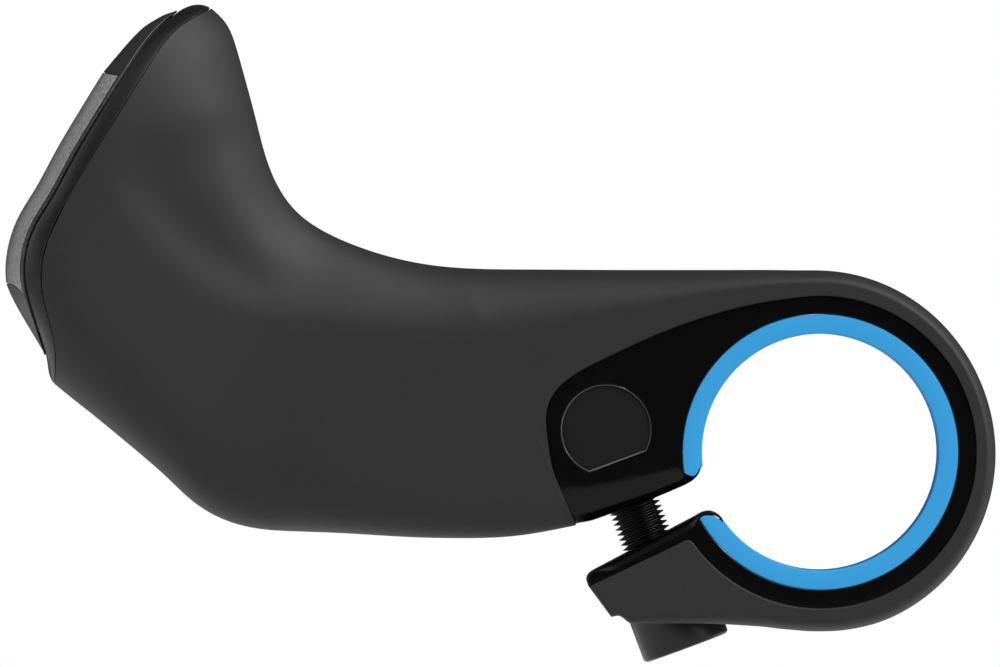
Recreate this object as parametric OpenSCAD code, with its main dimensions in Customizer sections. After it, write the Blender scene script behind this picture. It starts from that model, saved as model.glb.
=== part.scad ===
// Clamp-on inner bar end: a thumb horn on an open C-clamp for a handlebar.
// Millimetres. Origin on the axis of the bar, in the middle of the clamp.
// +Y runs along the bar, +Z up, and the horn reaches to -X.

/* [Clamp] */
// Diameter of the handlebar that the liner grips
bar_d = 22.2; // [22.1:0.05:22.3]
// Wall of the liner
liner_t = 1.85; // [1.75:0.05:1.9]
// Outer radius of the core's ring
ring_r = 14.65; // [14.6:0.05:14.8]
// Width of the clamp along the bar
clamp_w = 15; // [14.5:0.25:15.25]
// Rounding of the core's edges at the slot
slot_round = 1.2; // [0.6:0.1:1.4]

/* [Clamp screw] */
// Tilt of the screw from the vertical, in degrees
screw_tilt = 20.3; // [19.8:0.1:20.8]
// Nut centre, to the left of the bar's axis
nut_x = 20.1; // [19.9:0.1:20.3]
// Nut centre, above the bar's axis
nut_z = 2.1; // [1.9:0.1:2.3]
// Diameter of the barrel nut
nut_d = 8.5; // [8.2:0.1:8.6]
// Distance from the nut's centre to its flat
nut_flat = 3.25; // [3.0:0.05:3.3]
// Length of the barrel nut
nut_len = 14; // [12:0.2:14.4]
// Diameter of the screw's thread
screw_d = 4.9; // [4.84:0.01:4.96]
// Screw length under the head
screw_len = 20; // [19.6:0.1:20.4]
// Diameter of the screw head
head_d = 8.4; // [8.0:0.1:8.6]
// Height of the screw head
head_h = 5.2; // [4.8:0.1:5.4]
// Size of the hexagon socket across its flats
hex_af = 4; // [3:0.5:4]
// Depth of the hexagon socket
hex_depth = 2.6; // [2:0.1:3]
// Distance from the nut's centre to the underside of the head
head_at = 16.7; // [16.5:0.1:16.8]
// Thickness of the washer
washer_t = 0.9; // [0.7:0.1:1]
// Diameter of the washer
washer_d = 8.8; // [8.4:0.1:8.9]
// Diameter of the counterbore in the lower lug
pocket_d = 9.3; // [9.2:0.1:9.4]

/* [Horn] */
// Half width of the thumb face
face_half_w = 12; // [11.5:0.1:12.3]
// Width factor of the horn behind the face
horn_width = 1; // [0.97:0.01:1.03]
// Half width of the soft cover at the clamp
cover_half_w = 7.8; // [7.75:0.05:8]
// Steps along the horn between two control sections
section_steps = 2; // [1:1:2]
// Steps round a quarter of a section
quarter_steps = 8; // [6:1:9]

/* [End cap] */
// Height of the cap's crown over its rim
crown_h = 1.85; // [1.6:0.05:1.9]
// Height of the cap's wall at its rim
cap_wall = 0.35; // [0.3:0.05:0.5]
// How far the cap's outline lies inside the flange
cap_inset = 0.3; // [0.2:0.05:0.5]
// Gap between the cap's edge and the flange
cap_gap = 0.12; // [0.1:0.01:0.14]
// Thickness of the inlay
inlay_t = 0.45; // [0.3:0.05:0.5]
// Width share of the cap that the inlay covers
inlay_share = 0.94; // [0.9:0.01:0.95]

/* [Hidden] */
$fn = 64;

bar_r = bar_d / 2;
liner_r = bar_r + liner_t;
hw = clamp_w / 2;
over = 12;
spine_w = 11;

// ---- curves -------------------------------------------------------------

// Catmull-Rom curve through rows of numbers, t from 0 to len - 1
function cr(p, t) =
    let (n = len(p), i = max(0, min(floor(t), n - 2)), f = t - i,
         a = p[max(i - 1, 0)], b = p[i], c = p[i + 1], d = p[min(i + 2, n - 1)])
    0.5 * (2 * b + (c - a) * f + (2 * a - 5 * b + 4 * c - d) * f * f
           + (3 * b - a - 3 * c + d) * f * f * f);

function mix(a, b, t) = a + (b - a) * t;
function turned(faces) = [for (f = faces) [for (i = [len(f) - 1 : -1 : 0]) f[i]]];
function smooth(p, steps) =
    [for (i = [0 : (len(p) - 1) * steps]) cr(p, i / steps)];

// Rim of the thumb face in side view, from its lower to its upper end
rim = [[-73.0, 9.0], [-73.9, 11.6], [-74.6, 14.1], [-74.95, 16.5],
       [-74.8, 18.9], [-73.9, 21.4], [-72.2, 24.1], [-70.3, 27.4],
       [-68.3, 30.7], [-66.4, 33.8], [-64.5, 36.8], [-62.6, 39.4],
       [-60.2, 41.5]];
// Edge where the soft cover starts behind the flange, from below to above
edge = [[-72.0, 6.4], [-71.85, 9.3], [-72.45, 12.2], [-73.1, 15.0],
        [-73.2, 17.8], [-72.5, 20.7], [-70.9, 23.7], [-69.0, 26.8],
        [-67.0, 30.0], [-64.9, 33.4], [-62.7, 36.9], [-60.5, 39.7],
        [-57.2, 41.7]];

function rim_at(f) = cr(rim, f * (len(rim) - 1));
function rim_n(f) =
    let (d = rim_at(min(f + 0.01, 1)) - rim_at(max(f - 0.01, 0)))
    [-d[1], d[0]] / norm(d);

// Half width of the thumb face, as a share, at v from -1 (low) to 1 (high)
function face_w(v) = let (a = abs(v), p = v < 0 ? 2.8 : 2.4)
    pow(max(1 - pow(a, p), 0), 1 / 2.2);

// Control sections of the soft cover, from the thumb face round the clamp to
// the free end of the lower lug. Each row: outer point x, z; inner point x, z;
// half width; exponents of the outer corner; exponents of the inner corner;
// share of the face's bow.
sections = [
    [-57.2,  41.7, -72.0,   6.4,  11.8, 2.4, 2.2, 2.8, 2.2, 1.00],
    [-55.9,  40.4, -70.4,   5.1,  11.7, 2.4, 2.2, 3.0, 2.2, 0.93],
    [-54.8,  37.8, -68.5,   3.6, 11.15, 2.5, 2.2, 3.4, 2.2, 0.80],
    [-53.9,  34.6, -66.3,   1.8, 10.45, 2.6, 2.2, 3.8, 2.2, 0.63],
    [-53.0,  31.2, -63.9,  -0.2,   9.8, 2.7, 2.2, 4.1, 2.2, 0.46],
    [-52.1,  27.8, -61.4,  -2.4,   9.1, 2.9, 2.1, 4.4, 2.2, 0.32],
    [-50.9,  24.9, -58.9,  -4.7,  8.55, 3.1, 2.1, 4.6, 2.2, 0.21],
    [-49.2,  22.6, -56.2,  -6.3,   8.2, 3.4, 2.1, 4.7, 2.2, 0.13],
    [-46.9,  20.9, -53.0,  -7.2,  8.03, 3.7, 2.1, 4.8, 2.2, 0.07],
    [-43.9,  19.5, -48.8,  -7.5,  7.97, 4.0, 2.1, 5.0, 2.3, 0.03],
    [-40.2,  18.3, -43.9,  -7.7,  7.95, 4.3, 2.1, 5.5, 2.3, 0.00],
    [-36.0,  17.5, -38.6,  -8.0,  7.94, 4.6, 2.1, 6.0, 2.4, 0.00],
    [-31.6,  17.2, -33.5,  -8.1,  7.93, 4.9, 2.1, 6.5, 2.4, 0.00],
    [-27.0,  17.2, -28.4,  -7.9,  7.92, 5.2, 2.2, 7.0, 2.5, 0.00],
    [-22.2,  17.1, -23.5,  -7.0,  7.85, 5.4, 2.3, 8.0, 3.0, 0.00],
    [-18.4,  17.1, -20.4,  -3.6,  7.8, 5.0, 2.6, 9.0, 6.0, 0.00],
    [-14.6,  17.1, -16.0,   3.4,  7.8, 4.4, 3.2, 9.0, 9.0, 0.00],
    [-10.4,  17.1, -11.2,   8.8,  7.8, 3.8, 4.2, 9.0, 9.0, 0.00],
    [ -5.4,  17.1,  -5.7,  12.5,  7.8, 3.2, 5.2, 9.0, 9.0, 0.00],
    [  0.0,  17.0,   0.0,  13.8,  7.8, 3.0, 6.0, 9.0, 9.0, 0.00],
    [  5.5,  16.0,   4.6,  13.0,  7.8, 3.0, 6.0, 9.0, 9.0, 0.00],
    [ 10.5,  13.0,   8.8,  10.6,  7.8, 3.0, 6.0, 9.0, 9.0, 0.00],
    [ 14.4,   8.3,  11.9,   7.0,  7.8, 3.0, 6.0, 9.0, 9.0, 0.00],
    [ 16.3,   2.9,  13.6,   2.4,  7.8, 3.0, 6.0, 9.0, 9.0, 0.00],
    [ 16.3,  -2.6,  13.6,  -2.4,  7.8, 3.0, 6.0, 9.0, 9.0, 0.00],
    [ 14.6,  -8.1,  11.9,  -7.0,  7.8, 3.0, 6.0, 9.0, 9.0, 0.00],
    [ 11.4, -12.4,   8.8, -10.6,  7.8, 3.0, 6.0, 9.0, 9.0, 0.00],
    [  6.1, -15.9,   4.6, -13.0,  7.8, 3.0, 6.0, 9.0, 9.0, 0.00],
    [  0.0, -16.8,   0.0, -13.8,  7.8, 3.2, 6.0, 9.0, 9.0, 0.00],
    [ -4.6, -16.5,  -4.6, -13.0,  7.8, 4.0, 7.0, 9.0, 9.0, 0.00],
    [ -8.2, -16.2,  -8.2, -11.1,  7.8, 6.0, 8.0, 9.0, 9.0, 0.00],
    [-11.2, -16.1, -11.0,  -8.4,  7.8, 7.0, 9.0, 9.0, 9.0, 0.00],
    [-13.8, -16.1, -13.3,  -7.8,  7.8, 8.0, 9.0, 9.0, 9.0, 0.00],
    [-16.2, -16.1, -16.0,  -9.1,  7.8, 8.0, 9.0, 9.0, 9.0, 0.00],
    [-18.2, -15.9, -18.8, -10.4,  7.8, 8.0, 9.0, 9.0, 9.0, 0.00],
    [-19.7, -15.4, -21.8, -11.8,  7.8, 8.0, 9.0, 9.0, 9.0, 0.00]
];

// Bow of the face away from the straight line between its two ends
function bow(v) = let (h = (1 + v) / 2, n = len(edge) - 1)
    cr(edge, h * n) - mix(edge[0], edge[n], h);

// One point of a section: a runs from 0 (outer point) to 180 (inner point)
function sec_pt(s, a, side) =
    let (hi = a <= 90, p = hi ? s[5] : s[7], q = hi ? s[6] : s[8],
         c = abs(cos(a)), v = (hi ? 1 : -1) * pow(c, 2 / p),
         y = s[4] * pow(max(sin(a), 0), 2 / q),
         w = s[9] > 0 && s[0] < -40 ? s[9] : 0,
         b = bow(v) * w,
         m = mix([s[2], s[3]], [s[0], s[1]], (1 + v) / 2) + b)
    [m[0], side * y, m[1]];

// Angles of the points down one side, from the outer to the inner point,
// with a few more close to the widest point
quarter_a = concat([for (i = [0 : quarter_steps - 1]) 90 * i / quarter_steps], [84, 88]);
side_a = concat(quarter_a, [90], [for (i = [len(quarter_a) - 1 : -1 : 0]) 180 - quarter_a[i]]);
ns = len(side_a);

// A closed loop: down the +Y side, back up the -Y side
function loop(s) = concat(
    [for (a = side_a) sec_pt(s, a, 1)],
    [for (i = [ns - 2 : -1 : 1]) sec_pt(s, side_a[i], -1)]);

// Skin of a tube of loops that are closed by strips at both ends. A loop has
// nl points: point k on the +Y side faces point nl - k on the -Y side.
module skin(loops) {
    nl = len(loops[0]);
    m = len(loops);
    h = nl / 2;
    function id(i, k) = i * nl + (k + nl) % nl;
    polyhedron(
        points = [for (l = loops) each l],
        faces = turned(concat(
            [for (i = [0 : m - 2]) for (k = [0 : nl - 1]) each
                [[id(i, k), id(i + 1, k), id(i + 1, k + 1)],
                 [id(i, k), id(i + 1, k + 1), id(i, k + 1)]]],
            [[id(0, 0), id(0, 1), id(0, -1)]],
            [for (k = [1 : h - 2]) [id(0, k), id(0, k + 1), id(0, -k - 1), id(0, -k)]],
            [[id(0, h - 1), id(0, h), id(0, h + 1)]],
            [[id(m - 1, 0), id(m - 1, -1), id(m - 1, 1)]],
            [for (k = [1 : h - 2])
                [id(m - 1, k), id(m - 1, -k), id(m - 1, -k - 1), id(m - 1, k + 1)]],
            [[id(m - 1, h - 1), id(m - 1, h + 1), id(m - 1, h)]])),
        convexity = 8);
}

// ---- side-view outlines -------------------------------------------------

// Edge of the glossy side of the clamp, from the belly to the ring's top
side_edge = [[-22.9, -6.9], [-24.1, -4.2], [-25.1, -1.7], [-25.6, 1.2],
             [-25.8, 3.4], [-25.2, 5.2], [-23.6, 6.9], [-20.6, 8.6],
             [-17.0, 10.3], [-13.1, 11.9], [-9.4, 13.1], [-5.6, 14.0],
             [-1.5, 14.57]];

// Everything of the side view that the soft cover leaves open
module open_side() {
    circle(ring_r, $fn = 128);
    polygon(concat(smooth(side_edge, 2),
        [[0, 8], [0, -4], [-11.6, -8.0], [-12.1, -8.05], [-12.6, -8.25],
         [-21.7, -12.6], [-27, -15.1], [-27, -9], [-23.4, -8.4]]));
}

// The slot between the two lugs, open to the left
module slot_2d() {
    polygon([[-8, 0], [-11.05, -1.3], [-11.25, -1.95], [-11.75, -2.55],
             [-12.6, -3.1], [-14.8, -4.0], [-18.5, -5.4], [-20.5, -6.1],
             [-21.6, -6.45], [-22.8, -6.8], [-27, -7.6], [-27, -17],
             [-21.95, -17], [-21.95, -12.1], [-21.8, -11.6], [-21.4, -11.2],
             [-11.6, -6.0], [-11.1, -5.7], [-10.4, -5.55], [-9.7, -5.7],
             [-9.2, -6.1], [-8.9, -6.8], [-6, -6]]);
}

// What the slot takes from the liner: its ends stop short of the core's lips
module liner_cut_2d() {
    polygon([[0, 0], [-10.95, -0.6], [-11.1, -1.3], [-11.4, -1.8],
             [-11.9, -2.25], [-12.6, -2.7], [-14, -3.2], [-15, -8],
             [-11.5, -6.2], [-11.1, -5.95], [-10.5, -5.85], [-9.9, -5.95],
             [-9.35, -6.25], [-9.05, -6.7], [-8, -7.4]]);
}

// The core's two thin lips that hold the ends of the liner
module lips_2d() {
    difference() {
        intersection() {
            difference() {
                circle(liner_r + 0.1, $fn = 128);
                circle(bar_r + 0.12, $fn = 128);
            }
            liner_cut_2d();
        }
        slot_2d();
    }
}

// The bar that stiffens the horn, inside the soft cover
module spine_2d() {
    polygon([[-20, -4.8], [-23.6, -4.8], [-30, -5.4], [-40, -5.2], [-48, -4.8],
             [-54, -3.8], [-59, -0.9], [-64, 3.8], [-68.5, 8.6],
             [-72.8, 10.5], [-73.6, 13.5], [-74.0, 16.5], [-73.8, 18.9],
             [-72.9, 21.5], [-71.0, 24.6], [-68.4, 29.0],
             [-64.0, 29.0], [-58.5, 21.4], [-54.0, 17.2], [-48.0, 14.8],
             [-40.0, 13.6], [-30.0, 13.2], [-20.0, 13.0], [-11, 12.6],
             [-10, 10]]);
}

// The core of the lower lug, inside the soft cover
module lug_2d() {
    polygon([[-12, -8], [-21.9, -12.2], [-20.6, -14.2], [-19.2, -15.0],
             [-10, -15.0], [-7, -13.0]]);
}

// Pocket under the end cap that keeps the moulding's walls even
module pocket_2d() {
    polygon([[-80, 15.5], [-66.5, 10.2], [-58.0, 3.8], [-50, 1.6], [-47.5, 4.5],
             [-50, 9.5], [-57.0, 14.2], [-63.4, 21.0], [-78, 29.5]]);
}

module along_bar(h) {
    rotate([90, 0, 0]) linear_extrude(height = h, center = true, convexity = 8)
        children();
}

// Places children at the nut's centre with +Z out along the screw
module at_screw() {
    translate([-nut_x, 0, nut_z]) rotate([0, 180 - screw_tilt, 0]) children();
}

// Removes a long edge to a round of radius r: the edge runs along X, and the
// solid lies towards +Y and +Z
module edge_cut(r, len) {
    rotate([90, 0, 90]) translate([0, 0, -len / 2]) difference() {
        translate([-1, -1, 0]) cube([r + 1, r + 1, len]);
        translate([r, r, -1]) cylinder(h = len + 2, r = r);
    }
}

// ---- pieces -------------------------------------------------------------

// Flange that carries the cap: from the rim back to the cover's edge
module flange() {
    function row(c, w, k) = let (n = len(c) - 1)
        concat([for (a = side_a) let (v = flange_v(a), m = cr(c, (1 + v) / 2 * n))
                    [m[0], w * face_w(v), m[1]]],
               [for (i = [ns - 2 : -1 : 1])
                    let (v = flange_v(side_a[i]), m = cr(c, (1 + v) / 2 * n))
                    [m[0], -w * face_w(v), m[1]]]);
    mid = [for (i = [0 : len(rim) - 1]) let (g = i / (len(rim) - 1),
               o = 0.5 * pow(abs(2 * g - 1), 8), m = mix(rim[i], edge[i], 0.5))
               m + o * (g > 0.5 ? [0.2, 0.95] : [-0.3, -0.7])];
    skin([row(rim, face_half_w * 0.965, 0),
          row(mid, face_half_w, 0.5),
          row(edge, face_half_w * 11.8 / 12, 1)]);
}
function flange_v(a) = a <= 90 ? pow(cos(a), 2 / 2.4) : -pow(-cos(a), 2 / 2.8);

module core() {
    color([0.03, 0.03, 0.032]) difference() {
        union() {
            along_bar(clamp_w) union() {
                difference() {
                    open_side();
                    circle(liner_r, $fn = 128);
                    slot_2d();
                }
                lips_2d();
            }
            along_bar(spine_w) difference() {
                spine_2d();
                circle(13.8);
            }
            // lower lug, narrower under the soft cover
            along_bar(clamp_w - 2) lug_2d();
            flange();
        }
        along_bar(spine_w - 3) pocket_2d();
        // pocket for the nut, a little wider at both mouths
        nut_shape(40, 0.04);
        for (s = [-1, 1]) translate([0, s * (hw + 3.5), 0]) nut_shape(10, 0.15);
        // screw hole through both lugs, and the counterbore
        at_screw() translate([0, 0, -5.2]) cylinder(h = 26, d = 5.5);
        at_screw() translate([0, 0, head_at - washer_t]) cylinder(h = 12, d = pocket_d);
        // rounded edges along the slot
        for (s = [0, 1]) mirror([0, s, 0]) {
            translate([-17.8, -hw, -4.93]) rotate([0, -20, 0])
                edge_cut(slot_round, 12.5);
            translate([-17.0, -hw, -8.82]) rotate([0, -27.75, 0]) mirror([0, 0, 1])
                edge_cut(slot_round, 13.5);
        }
    }
}

// The nut's D section, through a length along the bar, grown by g all round
module nut_shape(len, g) {
    at_screw() intersection() {
        rotate([90, 0, 0]) cylinder(h = len, d = nut_d + 2 * g, center = true);
        translate([-10, -len, -10]) cube([20, 2 * len, 10 + nut_flat + g]);
    }
}

module grip() {
    color([0.2, 0.2, 0.21]) difference() {
        skin([for (i = [0 : (len(sections) - 1) * section_steps])
            let (s = cr(sections, i / section_steps),
                 k = s[0] < -25 && s[1] > 0 ? horn_width : 1,
                 w = s[0] > -24 ? cover_half_w : s[4] * k)
            loop([s[0], s[1], s[2], s[3], w, s[5], s[6], s[7], s[8], s[9]])]);
        along_bar(2 * over) open_side();
        along_bar(spine_w) spine_2d();
        along_bar(clamp_w - 2) lug_2d();
        at_screw() translate([0, 0, head_at - washer_t]) cylinder(h = 12, d = pocket_d);
    }
}

module clamp_liner() {
    color([0.23, 0.63, 0.86]) difference() {
        along_bar(clamp_w) circle(liner_r, $fn = 128);
        along_bar(clamp_w + 2) circle(bar_r, $fn = 128);
        along_bar(clamp_w + 2) liner_cut_2d();
    }
}

module barrel_nut() {
    color([0.25, 0.25, 0.26]) difference() {
        nut_shape(nut_len, 0);
        at_screw() translate([0, 0, -10]) cylinder(h = 20, d = screw_d + 0.1);
    }
}

module clamp_screw() {
    color([0.1, 0.1, 0.105]) at_screw() difference() {
        union() {
            translate([0, 0, head_at - screw_len + 0.5])
                cylinder(h = screw_len - 0.5, d = screw_d);
            translate([0, 0, head_at - screw_len])
                cylinder(h = 0.5, d1 = screw_d - 1, d2 = screw_d);
            translate([0, 0, head_at]) cylinder(h = head_h - 0.3, d = head_d);
            translate([0, 0, head_at + head_h - 0.3])
                cylinder(h = 0.3, d1 = head_d, d2 = head_d - 0.6);
        }
        translate([0, 0, head_at + head_h - hex_depth])
            cylinder(h = hex_depth + 1, d = hex_af / cos(30), $fn = 6);
    }
}

module screw_washer() {
    color([0.55, 0.56, 0.58]) at_screw() difference() {
        translate([0, 0, head_at - washer_t]) cylinder(h = washer_t, d = washer_d);
        translate([0, 0, head_at - washer_t - 1]) cylinder(h = washer_t + 2, d = 5.3);
    }
}

// ---- end cap ------------------------------------------------------------

// Where the low crease crosses the crown, and where it meets the rim's wall
low_f = 0.235;
low_side_f = 0.185;

// Crest of the cap over the rim, by f from 0 (low) to 1 (high)
function crest(f) =
    f < low_f ? mix(0.1, crown_h, f / low_f) :
    f < 0.775 ? crown_h :
    f < 0.91 ? mix(crown_h, 1.1, (f - 0.775) / 0.135) :
    f < 0.965 ? mix(1.1, 0.6, (f - 0.91) / 0.055) :
    mix(0.6, 0.1, (f - 0.965) / 0.035);
// The same at the side edge of the inlay's width
function brow(f) =
    f < low_side_f ? mix(0.08, cap_wall, f / low_side_f) :
    f < 0.79 ? cap_wall : mix(cap_wall, 0.08, (f - 0.79) / 0.21);

// Height of the cap at f and at u, from -1 to 1 across its width
function dome(f, u) = let (a = abs(u), k = 1 - a * a)
    min(mix(cap_wall, crown_h, k),
        mix(brow(f), f < 0.5 ? mix(0.1, crown_h, f / low_f) : crest(f), k));

function cap_w(f) = face_half_w * 0.965 * face_w(2 * f - 1) - cap_inset;

function cap_pt(f, u, h) = let (m = rim_at(f) + h * rim_n(f))
    [m[0], cap_w(f) * u, m[1]];

// Rows of f for the cap, close together at its ends and its two creases
cap_f = [0.008, 0.02, 0.04, 0.07, 0.1, 0.13, 0.16, 0.185, 0.2, 0.22, 0.235,
         0.26, 0.3, 0.34, 0.38, 0.42, 0.48, 0.54, 0.6, 0.66, 0.72, 0.775,
         0.79, 0.83, 0.87, 0.91, 0.94, 0.965, 0.982, 0.992];
cap_u = [-1, -0.97, -0.85, -0.7, -0.5, -0.25, 0, 0.25, 0.5, 0.7, 0.85, 0.97, 1];

// A plate over the rim: top and bottom are grids of the same size
module plate(top, bottom) {
    m = len(top);
    n = len(top[0]);
    function a(i, j) = i * n + j;
    function b(i, j) = m * n + i * n + j;
    polyhedron(
        points = concat([for (r = top) each r], [for (r = bottom) each r]),
        faces = turned(concat(
            [for (i = [0 : m - 2]) for (j = [0 : n - 2]) each
                [[a(i, j), a(i + 1, j), a(i + 1, j + 1)],
                 [a(i, j), a(i + 1, j + 1), a(i, j + 1)],
                 [b(i, j), b(i + 1, j + 1), b(i + 1, j)],
                 [b(i, j), b(i, j + 1), b(i + 1, j + 1)]]],
            [for (j = [0 : n - 2]) each
                [[a(0, j), a(0, j + 1), b(0, j + 1)], [a(0, j), b(0, j + 1), b(0, j)],
                 [a(m - 1, j), b(m - 1, j), b(m - 1, j + 1)],
                 [a(m - 1, j), b(m - 1, j + 1), a(m - 1, j + 1)]]],
            [for (i = [0 : m - 2]) each
                [[a(i, 0), b(i, 0), b(i + 1, 0)], [a(i, 0), b(i + 1, 0), a(i + 1, 0)],
                 [a(i, n - 1), b(i + 1, n - 1), b(i, n - 1)],
                 [a(i, n - 1), a(i + 1, n - 1), b(i + 1, n - 1)]]])),
        convexity = 6);
}

// The inlay's two ends follow the creases of the cap
function inlay_f(u, k) = let (a = u * u)
    mix(mix(low_f, low_side_f, a * a), mix(0.775, 0.788, a), k);
inlay_u = [for (u = [-1, -0.8, -0.55, -0.28, 0, 0.28, 0.55, 0.8, 1]) u * inlay_share];

module inlay_body(up) {
    top = [for (i = [0 : 16]) [for (u = inlay_u) let (f = inlay_f(u, i / 16))
               cap_pt(f, u, dome(f, u) + up)]];
    low = [for (i = [0 : 16]) [for (u = inlay_u) let (f = inlay_f(u, i / 16))
               cap_pt(f, u, max(dome(f, u) - inlay_t, cap_gap + 0.06))]];
    plate(top, low);
}

module end_cap() {
    color([0.12, 0.12, 0.125]) difference() {
        plate([for (f = cap_f) [for (u = cap_u)
                   cap_pt(f, u, abs(u) > 0.99 ? cap_gap + 0.1
                                : max(dome(f, u), cap_gap + 0.1))]],
              [for (f = cap_f) [for (u = cap_u) cap_pt(f, u, cap_gap)]]);
        inlay_body(1);
    }
}

module cap_inlay() {
    color([0.45, 0.45, 0.46]) inlay_body(0);
}

core();
grip();
clamp_liner();
barrel_nut();
clamp_screw();
screw_washer();
end_cap();
cap_inlay();
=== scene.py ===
import math
import bpy
import bmesh
import numpy as np
from mathutils import Vector, Matrix
from mathutils.geometry import delaunay_2d_cdt


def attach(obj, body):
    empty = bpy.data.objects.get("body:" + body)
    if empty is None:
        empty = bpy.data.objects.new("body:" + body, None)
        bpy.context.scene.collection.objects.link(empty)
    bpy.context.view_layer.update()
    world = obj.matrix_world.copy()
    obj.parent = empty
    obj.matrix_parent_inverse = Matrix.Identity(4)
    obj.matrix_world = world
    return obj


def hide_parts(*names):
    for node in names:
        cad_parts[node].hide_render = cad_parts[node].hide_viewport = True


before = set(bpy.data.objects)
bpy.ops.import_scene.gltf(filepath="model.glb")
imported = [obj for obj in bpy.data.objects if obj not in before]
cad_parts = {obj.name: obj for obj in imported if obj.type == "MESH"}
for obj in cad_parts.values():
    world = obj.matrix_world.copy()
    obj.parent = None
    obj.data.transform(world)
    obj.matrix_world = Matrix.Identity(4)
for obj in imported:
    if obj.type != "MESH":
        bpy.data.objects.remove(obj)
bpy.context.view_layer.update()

MM = 0.001
BAR_R, LINER_R, RING_R, HALF_W = 11.1, 12.95, 14.65, 7.5
NUT = (-20.1, 2.1)
TILT = math.radians(20.3)


# ---- curves ----------------------------------------------------------------

def ncs(t, y, tt):
    """Natural cubic spline through the rows y at t, read at tt."""
    t = np.asarray(t, float)
    y = np.asarray(y, float)
    y2 = y.reshape(len(t), -1)
    n, h = len(t), np.diff(t)
    A, r = np.zeros((n, n)), np.zeros((n, y2.shape[1]))
    A[0, 0] = A[-1, -1] = 1
    for i in range(1, n - 1):
        A[i, i - 1], A[i, i], A[i, i + 1] = h[i - 1], 2 * (h[i - 1] + h[i]), h[i]
        r[i] = 6 * ((y2[i + 1] - y2[i]) / h[i] - (y2[i] - y2[i - 1]) / h[i - 1])
    m = np.linalg.solve(A, r)
    tt = np.atleast_1d(np.asarray(tt, float))
    k = np.clip(np.searchsorted(t, tt, side="right") - 1, 0, n - 2)
    H, a, b = h[k][:, None], (t[k + 1] - tt)[:, None], (tt - t[k])[:, None]
    out = ((m[k] * a ** 3 + m[k + 1] * b ** 3) / (6 * H)
           + (y2[k] / H - m[k] * H / 6) * a + (y2[k + 1] / H - m[k + 1] * H / 6) * b)
    return out if y.ndim > 1 else out[:, 0]


def mono(t, y, tt):
    """Monotone cubic curve through the values y at t, read at tt."""
    t, y, tt = (np.asarray(v, float) for v in (t, y, tt))
    h = np.diff(t)
    d = np.diff(y) / h
    m = np.zeros(len(t))
    m[0], m[-1] = d[0], d[-1]
    for i in range(1, len(t) - 1):
        if d[i - 1] * d[i] > 0:
            w1, w2 = 2 * h[i] + h[i - 1], h[i] + 2 * h[i - 1]
            m[i] = (w1 + w2) / (w1 / d[i - 1] + w2 / d[i])
    k = np.clip(np.searchsorted(t, tt, side="right") - 1, 0, len(t) - 2)
    s = (tt - t[k]) / h[k]
    return ((1 + 2 * s) * (1 - s) ** 2 * y[k] + s * (1 - s) ** 2 * h[k] * m[k]
            + s * s * (3 - 2 * s) * y[k + 1] + s * s * (s - 1) * h[k] * m[k + 1])


def chord(p):
    p = np.asarray(p, float)
    return np.concatenate([[0], np.cumsum(np.linalg.norm(np.diff(p, axis=0), axis=1))])


def through(p, step=0.1):
    """Dense smooth curve through the points p."""
    p = np.asarray(p, float)
    t = chord(p)
    n = max(int(t[-1] / step), len(p) * 2)
    return ncs(t, p, np.linspace(0, t[-1], n))


def arc(c, r, a0, a1, step=0.15):
    n = max(int(abs(math.radians(a1 - a0)) * r / step), 3)
    a = np.radians(np.linspace(a0, a1, n))
    return np.stack([c[0] + r * np.cos(a), c[1] + r * np.sin(a)], 1)


def join(*parts):
    out = [np.asarray(parts[0], float)]
    for p in parts[1:]:
        p = np.asarray(p, float)
        if np.linalg.norm(out[-1][-1] - p[0]) < 1e-6:
            p = p[1:]
        out.append(p)
    return np.concatenate(out)


class Path:
    """A dense plane curve that is read by its length."""

    def __init__(self, pts):
        self.p = np.asarray(pts, float)
        keep = np.concatenate([[True], np.linalg.norm(np.diff(self.p, axis=0), axis=1) > 1e-9])
        self.p = self.p[keep]
        self.s = chord(self.p)

    def near(self, q, after=-1.0):
        d = np.linalg.norm(self.p - np.asarray(q, float), axis=1)
        d[self.s < after] = 1e9
        return float(self.s[int(np.argmin(d))])

    def at(self, s):
        return np.stack([np.interp(s, self.s, self.p[:, 0]), np.interp(s, self.s, self.p[:, 1])], 1)


# ---- mesh helpers ------------------------------------------------------------

def head_trim(v):
    """Draws the head's sides in by up to 0.2 mm, as their place is read from the near side."""
    v = np.array(v, float)
    s = np.clip((-42 - v[:, 0]) / 16, 0, 1)
    k = s * s * (3 - 2 * s) * np.abs(v[:, 1]) / 2613
    v[:, 0] -= (v[:, 0] + 30.06) * k
    v[:, 2] -= (v[:, 2] - 11.13) * k
    return v


def obj_from(name, verts, faces, sharp=None):
    """An object from vertices in millimetres, with its normals turned outwards."""
    verts = head_trim(verts)
    me = bpy.data.meshes.new(name)
    me.from_pydata([tuple(v) for v in np.asarray(verts, float) * MM], [], [tuple(f) for f in faces])
    bm = bmesh.new()
    bm.from_mesh(me)
    bmesh.ops.remove_doubles(bm, verts=bm.verts, dist=2e-7)
    bmesh.ops.dissolve_degenerate(bm, dist=1e-7, edges=bm.edges)
    bmesh.ops.recalc_face_normals(bm, faces=bm.faces)
    bm.to_mesh(me)
    bm.free()
    ob = bpy.data.objects.new(name, me)
    bpy.context.scene.collection.objects.link(ob)
    shade(ob, sharp)
    return ob


def shade(ob, sharp=None):
    me = ob.data
    me.polygons.foreach_set("use_smooth", [True] * len(me.polygons))
    if sharp:
        me.set_sharp_from_angle(angle=math.radians(sharp))
    me.update()


def grid_faces(m, n, close_n=False, off=0):
    out = []
    for i in range(m - 1):
        for j in range(n if close_n else n - 1):
            a, b = off + i * n + j, off + i * n + (j + 1) % n
            out.append((a, b, b + n, a + n))
    return out


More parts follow.
